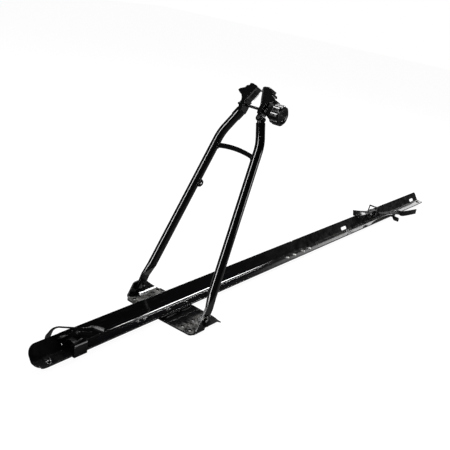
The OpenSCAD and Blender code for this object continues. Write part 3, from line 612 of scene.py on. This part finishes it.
cap_plastic = moulded("cap_plastic", (0.003, 0.003, 0.003, 1), low=0.2, high=0.34, grain_scale=1200,
                      grain=0.15, dust_amount=0.08)
shape = bmesh.new()
turned(shape, [(0, 27.1), (8.4, 27.1), (8.4, 30.6), (8.1, 30.95), (7.2, 31.1), (6.4, 30.7), (5.8, 30.7),
               (5.2, 31.2), (3, 31.55), (0, 31.65)], KNOB, 64)
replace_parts(place("knob_plug", shape, "knob", cap_plastic, crease=40), "knob_cap")


# Straps: moulded plastic ladder bands. The rear one makes a loose loop over the wall; the
# front one lies in the channel, twists on edge at both tails and has a pull hole in one.
strap_black = moulded("strap_black", (0.004, 0.004, 0.004, 1), low=0.22, high=0.36, grain_scale=700,
                      grain=0.25, dust_amount=0.12)
BAND_W, BAND_T = 14.0, 2.0


def smooth_line(points, steps=10):
    """Points of so many values each, joined by a smooth curve."""
    dense = []
    for i in range(len(points) - 1):
        a, b, c, d = (points[max(i - 1, 0)], points[i], points[i + 1], points[min(i + 2, len(points) - 1)])
        for k in range(steps):
            t = k / steps
            dense.append([0.5 * (2 * q + (r - p) * t + (2 * p - 5 * q + 4 * r - s) * t * t
                                 + (3 * q - p - 3 * r + s) * t ** 3) for p, q, r, s in zip(a, b, c, d)])
    dense.append(list(points[-1]))
    return dense


def measured(dense, axes):
    """The distance along the curve at each of its points, over the first so many values."""
    far = [0.0]
    for a, b in zip(dense, dense[1:]):
        far.append(far[-1] + math.dist(a[:axes], b[:axes]))
    return far


def at_distance(dense, far, s):
    """The curve's values at distance s, and the number of the stretch that holds it."""
    s = min(max(s, 0), far[-1])
    i = next((k for k in range(len(far) - 1) if far[k + 1] >= s), len(far) - 2)
    t = (s - far[i]) / (far[i + 1] - far[i])
    here = [p + (q - p) * t for p, q in zip(dense[i], dense[i + 1])]
    return here, i


def flat_band(shape, length, teeth, holes=()):
    """A flat ladder band: top on z = 0, cross ribs above it, holes punched through."""
    cells = round(length / 2)
    bmesh.ops.create_grid(shape, x_segments=cells, y_segments=6, size=0.5)
    full_size = move(length / 2) @ Matrix.Diagonal((length, BAND_W, 1, 1))
    bmesh.ops.transform(shape, matrix=full_size, verts=shape.verts)
    for x, y, radius in holes:
        gone = [f for f in shape.faces if abs(f.calc_center_median().x - x) < radius + 1.2
                and abs(f.calc_center_median().y - y) < radius + 1.2]
        rim = {e for f in gone for e in f.edges if sum(g in gone for g in e.link_faces) == 1}
        bmesh.ops.delete(shape, geom=gone, context="FACES")
        ring = bmesh.ops.create_circle(shape, segments=len(rim), radius=radius, matrix=move(x, y))
        round_edges = {e for v in ring["verts"] for e in v.link_edges}
        bmesh.ops.bridge_loops(shape, edges=list(rim) + list(round_edges))
    bmesh.ops.recalc_face_normals(shape, faces=shape.faces)
    bmesh.ops.solidify(shape, geom=list(shape.faces), thickness=BAND_T)
    highest = max(v.co.z for v in shape.verts)
    bmesh.ops.translate(shape, verts=shape.verts, vec=(0, 0, -highest))
    for side in (-1, 1):
        rail = move(length / 2, side * (BAND_W / 2 - 1), 0.1) @ Matrix.Diagonal((length - 1, 1.4, 0.8, 1))
        made = bmesh.ops.create_cube(shape, size=1, matrix=rail)
        edges = {e for v in made["verts"] for e in v.link_edges}
        longways = [e for e in edges if abs(e.verts[0].co.x - e.verts[1].co.x) > 1]
        bmesh.ops.subdivide_edges(shape, edges=longways, cuts=cells)
    start, end, pitch = teeth
    for k in range(int((end - start) / pitch) + 1):
        tooth = move(start + k * pitch, 0, 0.15) @ Matrix.Diagonal((1.5, BAND_W - 3.4, 0.9, 1))
        bmesh.ops.create_cube(shape, size=1, matrix=tooth)


REAR_BAND = move(-225.5, 5.06, 30.8) @ turn(-41.8, "Z") @ turn(90 - 31.8, "X")
loop = smooth_line([(-28.4, -8), (-29.6, -3), (-27.2, 2), (-23, 9), (-16, 12.6), (-7, 12.8), (22, 12.8),
                    (32, 14.8), (50, 10.5)])
loop_far = measured(loop, 2)
# How far the band has turned about its own length: distance in millimetres, degrees
REAR_TWIST = [(0, 24), (26, 0), (64, 0), (88, -21), (200, -21)]
shape = bmesh.new()
flat_band(shape, loop_far[-1], (10, loop_far[-1] - 6, 3.2))
for v in shape.verts:
    (u, w), i = at_distance(loop, loop_far, v.co.x)
    along = (Vector(loop[i + 1]) - Vector(loop[i])).normalized()
    near, far = next((a, b) for a, b in zip(REAR_TWIST, REAR_TWIST[1:]) if v.co.x <= b[0])
    share = (v.co.x - near[0]) / (far[0] - near[0])
    twist = math.radians(near[1] + (far[1] - near[1]) * share * share * (3 - 2 * share))
    out = v.co.z * math.cos(twist) + v.co.y * math.sin(twist)
    wide = v.co.y * math.cos(twist) - v.co.z * math.sin(twist)
    v.co = REAR_BAND @ Vector((u - along.y * out, w + along.x * out, wide))
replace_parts(place("rear_band", shape, "carrier", strap_black), "rear_strap")

# The front band's middle, from its buckle: x, y and z, then heading and roll in degrees
FRONT_X, FRONT_Y, FRONT_Z = 771, -1, 34
front = smooth_line([
    (-71, 20, 8, -38, 62), (-52, 9.5, 6.5, -24, 46), (-32, 2.5, 6.9, -12, 12), (-14, 0, 7, 0, 0),
    (12, 0, 7, 0, 0), (44, -2, -8, -4, 0), (89, -6, -14, -14, 0), (119, -12, -16.5, -18, 6),
    (141, -19, -17.5, -16, 36), (163, -26, -22.6, -16, 76), (229, -38, -24, -10, 88)])
front_far = measured(front, 3)
shape = bmesh.new()
flat_band(shape, front_far[-1], (70, front_far[-1] - 26, 3.2), [(front_far[-1] - 13, 0, 2.6)])
for v in shape.verts:
    (x, y, z, heading, roll), i = at_distance(front, front_far, v.co.x)
    heading, roll = math.radians(heading), math.radians(roll)
    across = Vector((-math.sin(heading) * math.cos(roll), math.cos(heading) * math.cos(roll), math.sin(roll)))
    up = Vector((math.sin(heading) * math.sin(roll), -math.cos(heading) * math.sin(roll), math.cos(roll)))
    middle = Vector((FRONT_X + x, FRONT_Y + y, FRONT_Z + z))
    v.co = middle + across * v.co.y + up * (v.co.z + BAND_T / 2)
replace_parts(place("front_band", shape, "carrier", strap_black), "front_strap")


# Ratchet buckles: glossy moulded plastic, two cheeks on a base with a toothed roller between,
# and an open lever frame on a steel pin. The rear one sits on a cradle that clips the rail.
buckle_black = moulded("buckle_black", (0.004, 0.004, 0.004, 1), low=0.12, high=0.24, grain_scale=900,
                       grain=0.2, dust_amount=0.1)
outline_on_xz = Matrix(((1, 0, 0, 0), (0, 0, 1, 0), (0, 1, 0, 0), (0, 0, 0, 1)))
REAR_BUCKLE = move(-214.8, -1, 35) @ turn(-41.8, "Z") @ turn(-31.8, "X")
FRONT_BUCKLE = move(FRONT_X, FRONT_Y, FRONT_Z)
CHEEK = [(-8, -5), (12, -5), (12, 1), (9.8, 4.6), (7, 7.6), (4, 8.6), (0, 8.2), (-4, 6), (-6.6, 2.6), (-8, 0)]
CHEEK_T, INSIDE = 2.2, 15.0


def soft_block(shape, low, high, at, soften=0.4):
    size = [h - l for l, h in zip(low, high)]
    centre = [(l + h) / 2 for l, h in zip(low, high)]
    before = set(shape.verts)
    bmesh.ops.create_cube(shape, size=1, matrix=move(*centre) @ Matrix.Diagonal((*size, 1)))
    fresh = [v for v in shape.verts if v not in before]
    edges = list({e for v in fresh for e in v.link_edges})
    bmesh.ops.bevel(shape, geom=edges, affect="EDGES", offset=soften, segments=2, profile=0.5, material=-1)
    bmesh.ops.transform(shape, matrix=at, verts=[v for v in shape.verts if v not in before])


def buckle(shape, at):
    for side in (-1, 1):
        middle = side * (INSIDE + CHEEK_T) / 2
        slab(shape, CHEEK, middle - CHEEK_T / 2, middle + CHEEK_T / 2, at @ outline_on_xz, 0.5)
        soft_block(shape, (-6, middle - 0.7, -1.2), (9, middle + 0.7 + 0.7 * side, 0.2), at, 0.3)
    soft_block(shape, (-8, -9.6, -5), (7, 9.6, -2.8), at)
    teeth = 14
    ratchet = []
    for k in range(teeth):
        for share, radius in ((0.0, 3.4), (0.35, 3.5), (0.5, 2.9)):
            a = math.tau * (k + share) / teeth
            ratchet.append((radius * math.cos(a), radius * math.sin(a)))
    slab(shape, ratchet, -INSIDE / 2, INSIDE / 2, at @ outline_on_xz)


def sheet_strip(shape, line, x0, x1, thickness):
    """A sheet bent along points in Y and Z, from x0 to x1, thickened outwards."""
    before = set(shape.verts)
    points = [shape.verts.new((x0, y, z)) for y, z in line]
    edges = [shape.edges.new(pair) for pair in zip(points, points[1:])]
    pulled = bmesh.ops.extrude_edge_only(shape, edges=edges)
    moved = [g for g in pulled["geom"] if isinstance(g, bmesh.types.BMVert)]
    bmesh.ops.translate(shape, vec=(x1 - x0, 0, 0), verts=moved)
    outside = [f for f in shape.faces if all(v not in before for v in f.verts)]
    bmesh.ops.recalc_face_normals(shape, faces=outside)
    # The faces come in no fixed order, so the side is judged on the lowest one
    if min(outside, key=lambda f: f.calc_center_median().z).normal.z < 0:
        bmesh.ops.reverse_faces(shape, faces=outside)
    bmesh.ops.solidify(shape, geom=outside, thickness=thickness)


# The cradle: a strip that clips round the rail, seen along X, and its way up to the buckle
CRADLE = [(-16.6, 18), (-16.6, 9.6), (3.2, 10.9), (10.5, 21.4), (17.9, 32.1)]
CRADLE_TOP = [(-4, 33.2), (-9, 31.4), (-13, 29.5), (-15.4, 26.6), (-16.6, 23)]
CRADLE_T, CRADLE_FROM, CRADLE_TO = 1.7, -232, -208
shape = bmesh.new()
buckle(shape, REAR_BUCKLE)
sheet_strip(shape, CRADLE_TOP + CRADLE, CRADLE_FROM, CRADLE_TO, CRADLE_T)
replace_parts(place("rear_buckle_frame", shape, "carrier", buckle_black), "rear_buckle")
shape = bmesh.new()
buckle(shape, FRONT_BUCKLE)
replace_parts(place("front_buckle_frame", shape, "carrier", buckle_black), "front_buckle")

LEVER_HALF, LEVER_ARM, LEVER_REACH = 9.9, 2.0, 20


def lever(shape, at):
    wide = LEVER_HALF + LEVER_ARM
    for side in (-1, 1):
        inner, outer = sorted((side * LEVER_HALF, side * wide))
        eye = [(1.55, inner), (2.7, inner), (3, inner + 0.3), (3, outer - 0.3), (2.7, outer), (1.55, outer)]
        turned(shape, eye + eye[:1], at @ turn(-90, "X"), 28)
        soft_block(shape, (2.2, inner, -2), (LEVER_REACH, outer, 2), at, 0.5)
    soft_block(shape, (LEVER_REACH - 3, -wide, -2), (LEVER_REACH + 0.6, wide, 2), at, 0.7)
    for k in range(5):
        soft_block(shape, (LEVER_REACH - 2.4, -6.4 + 3 * k, 1.7), (LEVER_REACH, -5.6 + 3 * k, 2.25), at, 0.15)


for name, at, body, node in (("rear_bail", REAR_BUCKLE, "rear_lever", "rear_lever"),
                             ("front_bail", FRONT_BUCKLE @ turn(-78, "Y"), "front_lever", "front_lever")):
    shape = bmesh.new()
    lever(shape, at)
    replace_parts(place(name, shape, body, buckle_black), node)
dress(zinc, "rear_lever_pin", "front_lever_pin")


# Keeper: a moulded block that hangs on the rail's front edge and holds the front strap down.
KEEPER = [(-18.2, 12.6), (-21, 13), (-36, 12), (-38, 9), (-38, 0.6), (-24, 0.6), (-18.2, 8)]
KEEPER_FROM, KEEPER_TO = FRONT_X + 111, FRONT_X + 130
shape = bmesh.new()
sheet_strip(shape, CRADLE, KEEPER_FROM, KEEPER_TO, CRADLE_T)
slab(shape, KEEPER, KEEPER_FROM, KEEPER_TO, outline_on_yz, 0.9)
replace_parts(place("front_keeper", shape, "carrier", buckle_black), "front_hook")
